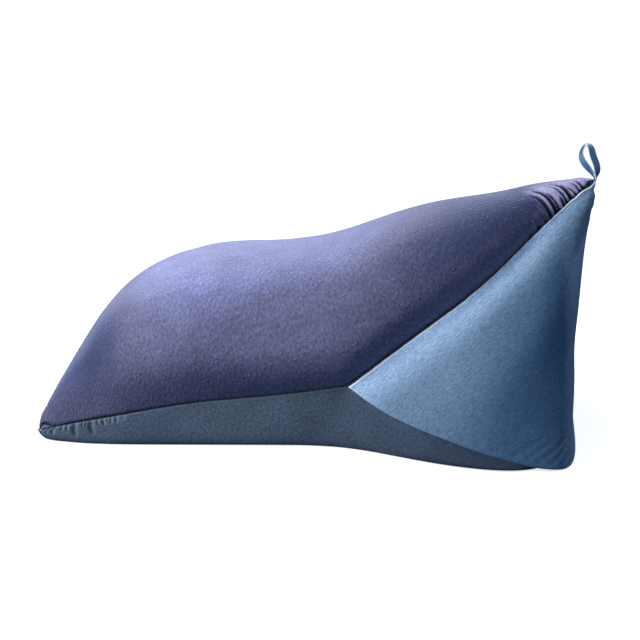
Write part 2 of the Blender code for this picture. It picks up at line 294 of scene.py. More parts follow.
# The fine gathers of the base panel behind the front corner, counted along its seam from that corner.
CORNER_GATHERS = named(
    Gather,
    (0.012, 0.012, 0.0022, 0.0022, 0.5),
    (0.024, 0.015, 0.0024, 0.0028, 0.3),
    (0.036, 0.014, 0.0026, 0.0032, 0.4),
    (0.050, 0.020, 0.0030, 0.0042, 0.2),
    (0.067, 0.013, 0.0026, 0.0036, 0.3),
    (0.078, 0.016, 0.0026, 0.0038, 0.3),
    (0.094, 0.036, 0.0050, 0.0054, 0.3),
    (0.114, 0.013, 0.0026, 0.0038, 0.3),
    (0.122, 0.015, 0.0028, 0.0038, 0.2),
    (0.132, 0.038, 0.0050, 0.0052, 0.3),
    (0.149, 0.013, 0.0026, 0.0032, 0.2),
    (0.161, 0.020, 0.0034, 0.0038, 0.3),
    (0.171, 0.011, 0.0024, 0.0028, 0.1),
    (0.179, 0.017, 0.0030, 0.0030, 0.1),
    (0.191, 0.019, 0.0032, 0.0028, 0.2),
    (0.206, 0.015, 0.0032, 0.0020, 0.2),
)
CORNER_ROOT = Ramp(-0.001, 0.002)
# The base panel's gathers get painted shade in their valleys, from this depth on.
CORNER_DARK = Ramp(0.0003, 0.0034)
# Each has a ridge with a painted highlight this far behind it, palest where the gather is this deep, and
# fading down the panel.
PALE_SHIFT = 0.0038
PALE_DEPTH = 0.0060
PALE_BESIDE = Ramp(0.0022, 0.0)
PALE_LENGTH = Ramp(0.030, 0.004)
PALE_LEAST = 0.4
# The corner itself is a knob with a painted highlight.
KNOB_LENGTH = Ramp(0.024, 0.012)
KNOB_HEIGHT = Ramp(0.007, 0.003)

# The dark line of painted shade beside the seams of the top panel, in the groove at each seam, narrow at the
# front corner and wide near the tip.
TOP_EDGE = Ramp(0.0075, 0.0035)
TOP_EDGE_FRONT = 1.6
TOP_EDGE_CORNER = Ramp(0.03, 0.10)
TOP_EDGE_CORNER_WIDTH = 0.35
TOP_EDGE_TIP = Ramp(0.42, 0.52)
TOP_EDGE_TIP_GAIN = 0.35

# The pale edge of the base panel, up to the waist.
BASE_EDGE = Ramp(0.004, 0.001)
BASE_EDGE_X = Ramp(0.16, 0.08)

# The white edge of the back panel along the upper seam is a painted highlight, and a faint one runs along the
# lower seam. The cloth between the white edge and the seam gets painted shade, and the cloth above it is
# painted paler against the shadow that the overhanging top panel casts there.
BACK_SHADE = Ramp(0.0048, 0.0062)
WHITE_START = Ramp(0.0054, 0.0068)
WHITE_END = Ramp(0.0112, 0.0098)
FAINT_START = Ramp(0.0008, 0.0020)
FAINT_END = Ramp(0.0050, 0.0036)
FAINT_X = Ramp(0.36, 0.12)
FAINT_SHARE = 0.10
BACK_RIDGE = Ramp(0.026, 0.006)
BACK_RIDGE_TIP = Ramp(0.56, 0.50)
BACK_RIDGE_X = Ramp(0.10, 0.30)
BACK_RIDGE_LEAST = 0.35

# Painted light and shade on each cloth, deep at 0, middling at 0.5 and pale at 1.25: paler where light falls
# and darker where shade falls, such as the lit crown and the shaded sides and rear of the bag, and the lit
# top and shaded inner face of the strap. Each change to its level is full at some places along X and in from
# the side seams, which is a share of the way to the crown on the top panel. Both places run round the loop on
# the strap.
ShadingChange = namedtuple("ShadingChange", "change along inward", defaults=(ANYWHERE,))
TOP_SHADING = 0.60
TOP_SHADING_CHANGES = (
    ShadingChange(-0.60, Ramp(0.05, 0.42), Ramp(0.10, 0.32)),
    ShadingChange(-0.12, ANYWHERE, Ramp(0.22, 0.10)),
    ShadingChange(-0.27, Bell(-0.06, 0.20), Ramp(0.22, 0.10)),
    ShadingChange(0.45, Ramp(-0.16, -0.42), Ramp(0.40, 0.90)),
    ShadingChange(0.24, Bell(-0.19, 0.10), Bell(0.50, 0.10)),
    ShadingChange(-0.62, Ramp(-0.32, -0.44), Ramp(0.04, 0.28)),
)
CROWN_SHADING = (ShadingChange(0.45, Ramp(0.42, 0.05), Ramp(0.35, 0.70)),)
# The painted pale of the lit crown reaches further down over the seat.
CROWN_DIP = 0.16  # the pale crown reaches this much further down over the seat
CROWN_DIP_X = Bell(-0.20, 0.13)
BASE_SHADING = 0.56
BASE_SHADING_CHANGES = (
    ShadingChange(0.32, Ramp(-0.30, -0.10)),
    ShadingChange(-0.18, Ramp(-0.05, 0.08)),
    ShadingChange(-0.64, Ramp(0.12, 0.50)),
)
BACK_SHADING = 1.35
BACK_SHADING_CHANGES = (
    ShadingChange(-0.78, ANYWHERE, Ramp(0, 0.12)),
    ShadingChange(-0.25, ANYWHERE, Ramp(0.15, 0.30)),
    ShadingChange(-0.42, Ramp(0.33, 0.52), Ramp(0.03, 0.14)),
    ShadingChange(-0.50, Ramp(0.50, 0.60)),
    ShadingChange(1.10, Ramp(0.555, 0.595), Ramp(0.05, 0.15)),
)
STRAP_SHADING = 0.36
STRAP_SHADING_CHANGES = (
    ShadingChange(0.75, Bell(0.49, 0.07)),
    ShadingChange(0.22, Ramp(0.66, 0.72), Ramp(0.86, 0.76)),
    ShadingChange(-0.90, Bell(0.615, 0.040)),
)

# The strap of the loop, from one end in the tip seam round to the other. Facing 0 shows its wide face to the
# side of the bag and 90 shows it to the front and the back.
StrapPoint = namedtuple("StrapPoint", "x y z facing_deg")
STRAP = named(
    StrapPoint,
    (0.6390, -0.003, 0.5732, 84),
    (0.6405, -0.004, 0.5815, 54),
    (0.6406, -0.004, 0.5905, 30),
    (0.6392, -0.004, 0.6015, 22),
    (0.6340, -0.005, 0.6125, 24),
    (0.6292, -0.005, 0.6242, 20),
    (0.6267, -0.004, 0.6365, 26),
    (0.6226, -0.002, 0.6450, 52),
    (0.6168, 0.000, 0.6485, 78),
    (0.6108, 0.002, 0.6460, 96),
    (0.6054, 0.003, 0.6367, 106),
    (0.6030, 0.004, 0.6254, 124),
    (0.6054, 0.005, 0.6140, 146),
    (0.6130, 0.006, 0.6030, 158),
    (0.6218, 0.006, 0.5930, 150),
    (0.6300, 0.006, 0.5836, 128),
    (0.6340, 0.005, 0.5762, 106),
)
STRAP_WIDTH = 0.017
STRAP_THICKNESS = 0.0022
STRAP_RINGS = 140
STRAP_HIDDEN_RINGS = 9  # each end is carried on into the seam by the length of this many rings
STRAP_TILT = 0.34  # how much the far edge of the strap is lifted at the top of the loop
STRAP_TILT_HEIGHT = Ramp(0.630, 0.646)
STRAP_EDGE = Ramp(0.0066, 0.0078)
STRAP_SHARP_DEG = 50

# The strap's profile, as shares of half its width and half its thickness. The slot between its two layers is
# in metres.
PROFILE_STEPS = 12
PROFILE_FLAT = 0.93
PROFILE_HOLLOW = 0.10
OPEN_EDGE = ((0.985, 0.8), (1.0, 0.5))
FOLDED_EDGE = ((-0.985, -0.7), (-1.0, 0.0), (-0.985, 0.7))
SLOT_ENDS = (0.985, 0.55)
SLOT_HALF = 0.00022


def through(points):
    """The knots whose smoothed curve passes through the points, along their first axis."""
    points = np.asarray(points, float)
    pull = np.eye(len(points))
    for row in range(1, len(points) - 1):
        pull[row, row - 1 : row + 2] = (1 / 6, 4 / 6, 1 / 6)
    return np.linalg.solve(pull, points.reshape(len(points), -1)).reshape(points.shape)


def smoothed(knots, places):
    """Points of the smooth curve that follows the knots, which lie at the whole places 0, 1, 2 and on."""
    knots = np.asarray(knots, float)
    flat = knots.reshape(len(knots), -1)
    flat = np.concatenate([2 * flat[:1] - flat[1:2], flat, 2 * flat[-1:] - flat[-2:-1]])
    start = np.clip(np.floor(places).astype(int), 0, len(knots) - 2)
    t = (np.asarray(places) - start)[:, None]
    curve = (1 - t) ** 3 * flat[start] + (3 * t**3 - 6 * t**2 + 4) * flat[start + 1]
    curve += (3 * (t + t**2 - t**3) + 1) * flat[start + 2] + t**3 * flat[start + 3]
    return (curve / 6).reshape((len(t),) + knots.shape[1:])


def spline(points, places):
    return smoothed(through(points), places)


def at_least(least, share):
    return least + (1 - least) * share


def with_painted_shading(level, changes, along, inward):
    painted_shading = level
    for row in changes:
        painted_shading = painted_shading + row.change * row.along(along) * row.inward(inward)
    return painted_shading


def lumps(u, v, table):
    """Smooth uneven heights over a surface, from seeded random values on a square grid."""
    height = np.zeros(u.shape)
    for lump in table:
        values = np.random.default_rng(lump.seed).uniform(-1, 1, (LUMP_GRID, LUMP_GRID))
        a, b = u / lump.size + LUMP_SHIFT[0], v / lump.size + LUMP_SHIFT[1]
        i, j = np.floor(a).astype(int), np.floor(b).astype(int)
        s, t = ease(a - i, 0, 1), ease(b - j, 0, 1)
        i, next_i = i % LUMP_GRID, (i + 1) % LUMP_GRID
        j, next_j = j % LUMP_GRID, (j + 1) % LUMP_GRID
        low = values[i, j] * (1 - s) + values[next_i, j] * s
        high = values[i, next_j] * (1 - s) + values[next_i, next_j] * s
        height += lump.height * (low * (1 - t) + high * t)
    return height


def both_sides(row):
    """A row from the near side to the middle, carried on to the far side as its mirror."""
    row = np.asarray(row, float)
    turned = row[-2::-1].copy()
    turned[:, 1] *= -1
    return np.concatenate([row, turned])


def steps_along(stretches):
    parts = [np.linspace(s.start, s.end, s.steps, endpoint=False) for s in stretches]
    return np.concatenate(parts + [[stretches[-1].end]])


def steps_across(last, count):
    """Places from one side seam to the other, closer together at both."""
    t = np.linspace(0, 1, count)
    eased = t - EDGE_BIAS * np.sin(2 * np.pi * t) / (2 * np.pi)
    return EDGE + (last - 2 * EDGE) * eased


def arc_length(points, axis):
    """How far each point lies along its line of the grid."""
    lengths = np.linalg.norm(np.diff(points, axis=axis), axis=2)
    return np.cumsum(np.insert(lengths, 0, 0.0, axis=axis), axis=axis)


def distances(points):
    """The distance from the near, far and nearer seam and the first row at each point, and the width."""
    near = arc_length(points, 1)
    width = near[:, -1:]
    return near, width - near, np.minimum(near, width - near), arc_length(points, 0), width


def outward_of(points):
    """The way out of a base or back panel at each point. A top panel's points need it turned round."""
    normal = np.cross(np.gradient(points, axis=1), np.gradient(points, axis=0))
    return normal / np.maximum(np.linalg.norm(normal, axis=2), 1e-9)[:, :, None]


def towards_middle(near, far):
    """The way from the nearer side seam to the middle of the bag at each point."""
    inward = np.zeros(near.shape + (3,))
    inward[:, :, 1] = np.where(near <= far, 1, -1)
    return inward


def turned_in(points, roll, distance, inward):
    """The points with the edge of the panel rounded in to its seam."""
    t = np.clip(1 - distance / roll.width, 0, 1)
    return points + inward * (roll.depth * (1 - np.sqrt(1 - t**2 * ROLL_STEEPNESS)))[:, :, None]


def upper_seam():
    """The near seam of the top panel, from the front corner to the tip."""
    return np.array([(s.seam_x, -s.seam_y, s.seam_z) for s in SECTIONS] + [(TIP[0], -TIP[1], TIP[2])])


def lower_seam():
    """The near half of the seam between the base and back panels."""
    return np.array([(p.x, -p.y, p.z) for p in LOWER_SEAM])


def tip_row(seam_point, parts):
    """A straight row across half of the tip."""
    return np.linspace(seam_point, np.asarray(seam_point) * (1, 0, 1), parts + 1)


def section_row(section):
    """The points of a section of the top panel, from side seam to side seam."""
    row = [(section.seam_x, -section.seam_y, section.seam_z)]
    for column in COLUMNS:
        turn = np.radians(column.turn_deg)
        across = np.cos(turn) ** (2 / CROWN_POWER) if column.turn_deg < 90 else 0.0
        up = np.sin(turn) ** (2 / CROWN_POWER)
        x = section.seam_x + (section.crown_x - section.seam_x) * column.forward
        z = section.side_z + (section.crown_z - section.side_z) * up
        row.append((x, -section.side_y * across, z))
    return both_sides(row)


def turning(curve, grid, along):
    """Lines along a grid, by either kind of curve. Its side edges turn at the waist."""
    lines = curve(grid, along)
    before = along <= WAIST
    for edge in (0, -1):
        lines[before, edge] = curve(grid[: WAIST + 1, edge], along[before])
        lines[~before, edge] = curve(grid[WAIST:, edge], along[~before] - WAIST)
    return lines


def crossing(curve, lines, across):
    """A surface's points, on curves across its lines."""
    return curve(lines.swapaxes(0, 1), across).swapaxes(0, 1)


def gather_fold(gathers, along_seam, from_seam, reach, bend=CURVED):
    """How deep the gathers draw the cloth in at each point. Each is a valley between round ridges."""
    drawn = np.zeros(from_seam.shape)
    for g in gathers:
        way = from_seam / g.length
        line = g.place + g.lean * g.length * way**bend
        width = g.width * (1 + GATHER_SPREAD * (1 - np.minimum(way, 1))) / (1 + GATHER_SPREAD)
        valley = np.exp(-((np.abs(along_seam - line) / width) ** GATHER_BLUNTNESS))
        length = np.minimum(g.length, reach)
        drawn = np.maximum(drawn, g.depth * valley * ease(from_seam, length, GATHER_FADE * length))
    return drawn


def bulge(points, from_edge, nose):
    """The bulge near both front corners, level and straight out from the bag's corner."""
    mirror = np.ones(points.shape)
    mirror[:, :, 1] = np.sign(points[:, :, 1])
    far_corner = points[0, 0] * (1, -1, 1)
    distance = np.linalg.norm(points - far_corner * mirror, axis=2)
    amount = nose.size * ease(distance, 0, nose.full) * ease(distance, nose.end, nose.fading)
    return (amount * NOSE_EDGE(from_edge))[:, :, None] * mirror * NOSE_OUTWARD


def front_tuck(along, seam):
    """The fold over the side seam at the front corner: the depth of its valley, and the height of its lip."""
    way = np.clip((along - TUCK_START) / TUCK_LENGTH, 0, 1)
    height = TUCK_HEIGHT * np.sin(np.pi * way)
    inside = TUCK_FRONT_END(way) * TUCK_REAR_END(way)
    valley = TUCK_VALLEY(seam - height) * inside
    lip = TUCK_LIP_EDGE(height - seam) * TUCK_LIP_EDGE(seam) * inside
    return TUCK_DEPTH * valley, TUCK_LIP * lip


def gathered_tip(gathers, along, seam, half):
    """One side of the top panel: how high its cloth stands, and where it gets painted shade and painted
    highlights.
    """
    from_tip = along[-1] - along
    root = TIP_ROOT(seam)
    puff = root * PUFF_FRONT(from_tip) * PUFF_TIP(from_tip)
    puff *= PUFF_LENGTH(seam) * PUFF_CROWN(seam / half)
    puff *= PUFF + (TIP_PUFF - PUFF) * TIP_PUFF_FADE(from_tip)
    drawn = gather_fold(gathers, from_tip, seam, half) * root
    tuck, lip = front_tuck(along, seam)
    dark = TIP_DARK(drawn) + tuck / TUCK_DARK_DEPTH
    curve = RIDGE_CURVE * np.minimum(seam, RIDGE_CURVE_LENGTH) ** 2
    pale = RIDGE_DEPTH(drawn) * RIDGE_START(from_tip - curve)
    pale *= RIDGE_LENGTH(seam) * RIDGE_TIP(from_tip)
    pale *= 1 - RIDGE_CROWN_LOSS * RIDGE_CROWN(seam / half)
    return puff - drawn - tuck + lip, dark, np.maximum(pale, TUCK_LIP_PALE * lip / TUCK_LIP)


def top_surface():
    """The points of the top panel, where they lie on its flat cloth, and its marks."""
    grid = [section_row(section) for section in SECTIONS]
    grid.append(both_sides(tip_row(upper_seam()[-1], len(COLUMNS))))
    lines = turning(spline, np.array(grid), steps_along(TOP_ALONG))
    points = crossing(spline, lines, steps_across(len(grid[0]) - 1, TOP_ACROSS))
    normal = -outward_of(points)
    near, far, from_seam, from_front, width = distances(points)
    half = width / 2
    middle = TOP_ACROSS // 2
    u = np.broadcast_to(from_front[:, middle : middle + 1], near.shape)
    v = (near - far) / 2

    raised = lumps(u, v, TOP_LUMPS) * TOP_LUMP_EDGE(from_seam) * TOP_LUMP_EDGE(from_front)
    far_gathers = [Gather(*(a * b for a, b in zip(g, FAR_SIDE))) for g in TIP_GATHERS]
    near_side = gathered_tip(TIP_GATHERS, from_front[:, :1], near, half)
    far_side = gathered_tip(far_gathers, from_front[:, -1:], far, half)
    gathered, dark, pale = [np.where(near <= far, a, b) for a, b in zip(near_side, far_side)]
    raised += gathered
    raised += lumps(u, v, SEAM_PUCKERS) * PUCKER_FADE(from_seam)
    nose = bulge(points, np.minimum(from_front, from_seam), TOP_NOSE)
    points = points + normal * raised[:, :, None] + nose

    corner = CORNER_ROLL(np.hypot(from_front, from_seam))[:, :, None]
    side_roll = np.minimum(1, half / NARROW_TOP)
    inward = towards_middle(near, far) * side_roll[:, :, None] * corner
    points = turned_in(points, TOP_ROLL, from_seam / side_roll, inward)
    points = turned_in(points, TOP_ROLL, from_front, np.array(FRONT_INWARD) * corner)

    x, up = points[:, :, 0], from_seam / half
    line = at_least(TOP_EDGE_CORNER_WIDTH, TOP_EDGE_CORNER(from_front))
    line = line * (1 + TOP_EDGE_TIP_GAIN * TOP_EDGE_TIP(x))
    edge = TOP_EDGE(np.minimum(from_seam / line, from_front * TOP_EDGE_FRONT))
    crown = up + CROWN_DIP * CROWN_DIP_X(x)
    painted_shading = with_painted_shading(TOP_SHADING, TOP_SHADING_CHANGES, x, up) + with_painted_shading(0, CROWN_SHADING, x, crown)
    marks = {"painted_crease_shade": np.minimum(dark, 1), "painted_highlight": pale, "edge": edge, "painted_shading": painted_shading}
    return points, np.stack([u, v], axis=2), marks


def gathered_corner(along, seam, half, above_floor):
    """One side of the base panel: how deep its gathers are, and where it gets a painted highlight."""
    drawn = gather_fold(CORNER_GATHERS, along, seam, half) * CORNER_ROOT(seam) * above_floor
    ahead = gather_fold(CORNER_GATHERS, along - PALE_SHIFT, seam, half)
    pale = np.minimum(ahead / PALE_DEPTH, 1) * PALE_BESIDE(drawn)
    pale *= at_least(PALE_LEAST, PALE_LENGTH(seam))
    knob = KNOB_LENGTH(along) * KNOB_HEIGHT(seam)
    return drawn, np.maximum(pale, knob)


def drawn_to_back_seam(points, back_seam, along, across):
    """The base panel with its sides and its last row moved on to the seam of the back panel."""
    last = len(back_seam) - 1
    behind = along > WAIST
    row_share = ease(along, BASE_LAST - 1, BASE_LAST)[:, None, None]
    end = spline(back_seam, BACK_CORNER + across) - points[-1]
    moved = row_share * end
    for edge, share in ((0, ease(across, 1, 0)), (-1, ease(across, across[-1] - 1, across[-1]))):
        seam_place = along - WAIST if edge == 0 else last - (along - WAIST)
        side = np.zeros((len(along), 3))
        side[behind] = spline(back_seam, seam_place[behind]) - points[behind, edge]
        side = side[:, None] * share[None, :, None]
        moved = moved + side - row_share * share[None, :, None] * end[edge]
    return points + moved


def base_grid(back_seam):
    """The rows of the base panel, from its front seam to the seam of the back panel."""
    upper = np.concatenate([upper_seam()[: WAIST + 1], lower_seam()[1 : BACK_CORNER + 1]])
    rows = [section_row(SECTIONS[0])]
    for point, base in zip(upper[1:-1], BASE_SECTIONS):
        row = [point, (base.side_x, -base.side_y, base.side_z)]
        for floor_y in (base.floor_y, base.floor_y - FLOOR_INSET, 0.0):
            row.append((base.floor_x, -floor_y, 0.0))
        rows.append(both_sides(row))
    rows.append(back_seam[BACK_CORNER : -BACK_CORNER])
    return np.array(rows)


def base_lines(grid, back_seam, along):
    """The lines of the base panel, which pass through its seams, with their turn at the waist."""
    knots = grid.copy()
    for side in (0, -1):
        knots[: WAIST + 1, side] = through(grid[: WAIST + 1, side])
    knots[WAIST:, 0] = through(back_seam)[: BACK_CORNER + 1]
    knots[WAIST:, -1] = through(back_seam)[: -BACK_CORNER - 2 : -1]
    knots[0] = through(grid[0])
    knots[-1] = through(back_seam)[BACK_CORNER : -BACK_CORNER]
    return turning(smoothed, knots, along)


def base_surface():
    """What top_surface gives, for the base panel."""
    back_seam = both_sides(lower_seam())
    grid = base_grid(back_seam)
    along, across = steps_along(BASE_ALONG), steps_across(grid.shape[1] - 1, BASE_ACROSS)
    points = crossing(smoothed, base_lines(grid, back_seam, along), across)
    points = drawn_to_back_seam(points, back_seam, along, across)
    normal = outward_of(points)
    near, far, from_seam, from_front, width = distances(points)
    half = width / 2
    from_back = from_front[-1:] - from_front
    u, v = points[:, :, 0], (near - far) / 2

    above_floor = ABOVE_FLOOR(points[:, :, 2])
    raised = lumps(u, v, BASE_LUMPS) * BASE_LUMP_EDGE(from_seam) * above_floor
    near_side = gathered_corner(from_front[:, :1], near, half, above_floor)
    far_side = gathered_corner(from_front[:, -1:], far, half, above_floor)
    drawn, pale = [np.where(near <= far, a, b) for a, b in zip(near_side, far_side)]
    raised -= drawn
    raised += lumps(u, v, SEAM_PUCKERS) * PUCKER_FADE(from_seam) * above_floor
    nose = bulge(points, np.minimum(from_front, from_seam), BASE_NOSE)
    points = points + normal * raised[:, :, None] + nose

    corner = CORNER_ROLL(np.hypot(from_front, from_seam))[:, :, None]
    points = turned_in(points, BASE_ROLL, from_seam, towards_middle(near, far) * corner)
    points = turned_in(points, BASE_ROLL, from_front, np.array(FRONT_INWARD) * corner)
    points = turned_in(points, BASE_ROLL, from_back, np.array(REAR_INWARD))

    x = points[:, :, 0]
    edge = BASE_EDGE(np.minimum(from_seam, np.minimum(from_front, from_back))) * BASE_EDGE_X(x)
    painted_shading = with_painted_shading(BASE_SHADING, BASE_SHADING_CHANGES, x, from_seam)
    marks = {"painted_crease_shade": CORNER_DARK(drawn), "painted_highlight": pale, "edge": edge, "painted_shading": painted_shading}
    return points, np.stack([u, v], axis=2), marks


def back_grid():
    """The grid of the back panel from its lower seam up to the tip, with its cloth laid flat beside it."""
    upper = upper_seam()[: WAIST - 1 : -1]
    lower = both_sides(lower_seam())
    table = LOWER_SEAM + LOWER_SEAM[-2::-1]
    tips = both_sides(tip_row(upper[0], len(LOWER_SEAM) - 1))
    run = np.gradient(lower, axis=0)
    outward = np.stack([run[:, 1], -run[:, 0], np.zeros(len(run))], axis=1)
    outward /= np.linalg.norm(outward, axis=1)[:, None]
    spokes = lower - tips
    length = np.linalg.norm(spokes, axis=1)
    turn = np.einsum("ij,ij->i", spokes[1:], spokes[:-1]) / (length[1:] * length[:-1])
    angle = np.cumsum(np.insert(np.arccos(np.clip(turn, -1, 1)), 0, 0.0))
    angle -= angle[len(angle) // 2]
    flat = np.stack([length * np.sin(angle), -length * np.cos(angle)], axis=1)
    reach = np.linalg.norm(upper - upper[0], axis=1)
    grid = []
    for point, share in zip(upper, reach / reach[-1]):
        bow = point - (upper[0] + (upper[-1] - upper[0]) * share)
        row = []
        for number, seam in enumerate(table):
            swell = seam.swell * np.sin(np.pi * share**SWELL_POWER)
            side = (1, -1 if number > len(table) // 2 else 1, 1)
            place = tips[number] + spokes[number] * share + bow * side * seam.bow_share
            row.append(np.concatenate([place + outward[number] * swell, flat[number] * share]))
        grid.append(row)
    return np.array(grid)[::-1]


def back_surface():
    """What top_surface gives, for the back panel."""
    grid = back_grid()
    lines = spline(grid, steps_along(BACK_ALONG))
    made = crossing(spline, lines, steps_across(grid.shape[1] - 1, BACK_ACROSS))
    points, flat = made[:, :, :3], made[:, :, 3:]
    normal = outward_of(points)
    near, far, from_seam, from_floor, width = distances(points)
    from_tip = from_floor[-1:] - from_floor
    x, up = points[:, :, 0], points[:, :, 2]
    u, v = flat[:, :, 0], flat[:, :, 1]

    raised = lumps(u, v, BACK_LUMPS) * BACK_LUMP_EDGE(from_seam) * BACK_LUMP_EDGE(from_floor)
    raised *= BACK_LUMP_TIP(from_tip)
    under_tip = UNDER_TIP(from_tip)
    raised += lumps(u, v, TIP_CRUMPLES) * CRUMPLE_EDGE(from_seam) * under_tip
    raised += TIP_SWELL * under_tip * TIP_SWELL_TOP(from_tip) * TIP_SWELL_EDGE(from_seam)
    raised += REAR_SWELL * REAR_SWELL_HEIGHT(up) * REAR_SWELL_X(x)
    raised += lumps(u, v, SEAM_PUCKERS) * BACK_PUCKER_FADE(from_seam)
    raised += SEAM_LIP * SEAM_LIP_PLACE(from_seam) * SEAM_LIP_ROOM(width)
    for place in (near[:1], far[:1]):
        pulled = gather_fold(CORNER_PULLS, place, from_floor, np.inf, bend=STRAIGHT)
        raised -= pulled * PULL_ROOT(from_floor)
    points = points + normal * raised[:, :, None]

    side_roll = np.minimum(1, width / NARROW_BACK)
    from_roll = from_seam / side_roll
    points = turned_in(points, BACK_UPPER_ROLL, from_roll, towards_middle(near, far) * side_roll[:, :, None])
    points = turned_in(points, BACK_LOWER_ROLL, from_floor, -normal * (1, 1, 0))

    x = points[:, :, 0]
    scallop = SCALLOP_DEPTH * np.abs(np.sin(np.pi * from_tip / SCALLOP_LENGTH))
    scallop *= SCALLOP_UPPER_END(from_tip) * SCALLOP_LOWER_END(from_tip)
    white = WHITE_START(from_roll) * WHITE_END(from_roll + scallop)
    faint = FAINT_START(from_floor) * FAINT_END(from_floor) * FAINT_X(x)
    pale = BACK_RIDGE(from_seam) * BACK_RIDGE_TIP(x)
    pale *= at_least(BACK_RIDGE_LEAST, BACK_RIDGE_X(x))
    shade = BACK_SHADE(from_roll)
    painted_shading = with_painted_shading(BACK_SHADING, BACK_SHADING_CHANGES, x, from_seam)
    marks = {"edge": np.maximum(white, FAINT_SHARE * faint), "painted_highlight": pale * shade, "painted_shading": painted_shading * shade}
    return points, flat, marks


def add_object(name, data):
    obj = bpy.data.objects.new(name, data)
    bpy.context.scene.collection.objects.link(obj)
    return obj


def add_cloth(name, points, faces, flat, marks, sharp_deg):
    """A smooth piece of cloth, with its flat places as a UV map and its marks as attributes."""
    mesh = bpy.data.meshes.new(name)
    mesh.from_pydata(points.reshape(-1, 3).tolist(), [], faces)
    corners = np.empty(len(mesh.loops), int)
    mesh.loops.foreach_get("vertex_index", corners)
    layer = mesh.uv_layers.new(name="cloth")
    layer.uv.foreach_set("vector", flat.reshape(-1, 2)[corners].ravel())
    for mark, values in marks.items():
        mesh.attributes.new(mark, "FLOAT", "POINT").data.foreach_set("value", values.ravel())
    mesh.shade_smooth()
    mesh.set_sharp_from_angle(angle=np.radians(sharp_deg))
    return add_object(name, mesh)


def add_panel(name, made, far_end_is_tip, faces_up=False):
    """One closed panel: its surface, and straight inner faces from side to side between its seams."""
    points, flat, marks = made
    rows, columns = points.shape[:2]
    index = np.arange(rows * columns).reshape(rows, columns)
    quads = np.stack([index[:-1, :-1], index[:-1, 1:], index[1:, 1:], index[1:, :-1]], axis=2)
    faces = quads.reshape(-1, 4).tolist()
    for i in range(rows - 2 if far_end_is_tip else rows - 1):
        faces.append([index[i, 0], index[i + 1, 0], index[i + 1, -1], index[i, -1]])
    ends = [(index[0], False)]
    if far_end_is_tip:
        faces.append([index[-2, -1], index[-2, 0]] + index[-1].tolist())
    else:
        ends.append((index[-1], True))
    for row, turned in ends:
        for j in range((columns - 1) // 2):
            face = [row[j], row[-1 - j], row[-2 - j], row[j + 1]]
            if len(set(face)) < 4:
                face = [row[j], row[-1 - j], row[j + 1]]
            faces.append(face[::-1] if turned else face)
    turn = -1 if faces_up else 1
    faces = [[int(i) for i in face][::turn] for face in faces]
    return add_cloth(name, points, faces, flat, marks, PANEL_SHARP_DEG)


def strap_rings():
    """Centre, width direction and thickness direction of the strap, ring by ring."""
    knots = np.array([(p.x, p.y, p.z) for p in STRAP])
    facing = np.unwrap(np.radians([p.facing_deg for p in STRAP]), period=np.pi)
    places = np.linspace(0, len(STRAP) - 1, STRAP_RINGS)
    centre = smoothed(knots, places)
    turn = smoothed(facing[:, None], places)[:, 0]
    first = 2 * centre[0] - centre[STRAP_HIDDEN_RINGS]
    last = 2 * centre[-1] - centre[-1 - STRAP_HIDDEN_RINGS]
    centre = np.concatenate([[first], centre, [last]])
    turn = np.concatenate([turn[:1], turn, turn[-1:]])
    run = np.gradient(centre, axis=0)
    run /= np.linalg.norm(run, axis=1)[:, None]
    tilt = STRAP_TILT * STRAP_TILT_HEIGHT(centre[:, 2])
    wide = np.stack([np.cos(turn), np.sin(turn), tilt], axis=1)
    wide -= run * np.einsum("ij,ij->i", wide, run)[:, None]
    wide /= np.linalg.norm(wide, axis=1)[:, None]
    return centre, wide, np.cross(run, wide)


def strap_profile():
    """The strap's outline across its width: two layers of cloth, folded at one edge and open at the other."""
    half, thick = STRAP_WIDTH / 2, STRAP_THICKNESS / 2
    upper = []
    for t in np.linspace(-1, 1, PROFILE_STEPS):
        upper.append((half * PROFILE_FLAT * t, thick * (1 - PROFILE_HOLLOW * (1 - t * t))))
    upper += [(half * x, thick * z) for x, z in OPEN_EDGE]
    upper += [(half * x, SLOT_HALF) for x in SLOT_ENDS]
    lower = [(x, -z) for x, z in upper[::-1]]
    return upper + lower + [(half * x, thick * z) for x, z in FOLDED_EDGE]


def add_loop():
    centre, wide, thin = strap_rings()
    profile = np.array(strap_profile())
    points = centre[:, None] + wide[:, None] * profile[None, :, :1] + thin[:, None] * profile[None, :, 1:]
    grid = points.shape[:2]
    index = np.arange(points.size // 3).reshape(grid)
    ahead = np.roll(index, -1, axis=1)
    quads = np.stack([index[:-1], index[1:], ahead[1:], ahead[:-1]], axis=2)
    faces = quads.reshape(-1, 4).tolist() + [index[0].tolist(), index[-1].tolist()[::-1]]
    along = np.linalg.norm(np.diff(centre, axis=0), axis=1)
    along = np.insert(np.cumsum(along), 0, 0.0)
    u = np.broadcast_to(along[:, None], grid)
    v = np.broadcast_to(profile[:, 0], grid)
    round_loop = np.broadcast_to(np.linspace(0, 1, len(centre))[:, None], grid)
    painted_shading = with_painted_shading(STRAP_SHADING, STRAP_SHADING_CHANGES, round_loop, round_loop)
    marks = {"edge": STRAP_EDGE(np.abs(v)), "painted_shading": painted_shading}
    strap = add_cloth("strap", points, faces, np.stack([u, v], axis=2), marks, STRAP_SHARP_DEG)
    return strap, along[-1]


